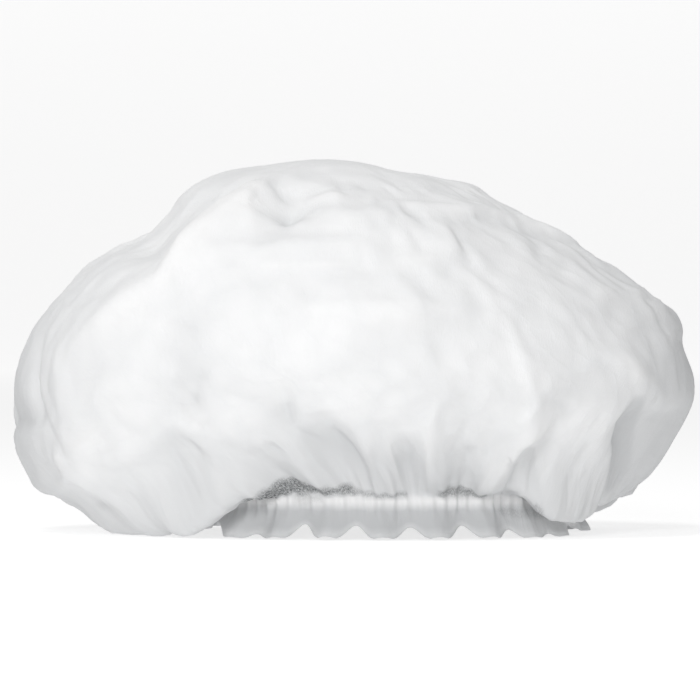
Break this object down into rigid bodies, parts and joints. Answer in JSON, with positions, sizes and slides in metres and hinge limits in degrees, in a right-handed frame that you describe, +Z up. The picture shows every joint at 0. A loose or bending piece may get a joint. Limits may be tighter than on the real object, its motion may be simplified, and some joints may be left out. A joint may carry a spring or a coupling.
{
  "type": "disposable bouffant hair cap",
  "caption": "Soft hair cover cap of one thin non-woven sheet, gathered to a frilled head opening by a hidden elastic, standing puffed up.",
  "frame": {"origin": "middle of the footprint's bounding box, on the surface that the cap stands on", "axes": "+Z up, out of the top of the crown; +X along the cap's long way, towards its higher-sided right end; -Y towards the front that the picture shows"},
  "size_m": [0.2578, 0.238, 0.142],
  "materials": {
    "sheet": "thin spunbond non-woven, matt and slightly see-through",
    "turned_sheet": "thin spunbond non-woven, matt and slightly see-through",
    "elastic": "flat off-white elastic, matt"
  },
  "bodies": {
    "root": {"crown": "sheet", "turned_hem": "turned_sheet", "elastic_band": "elastic"}
  },
  "joints": []
}
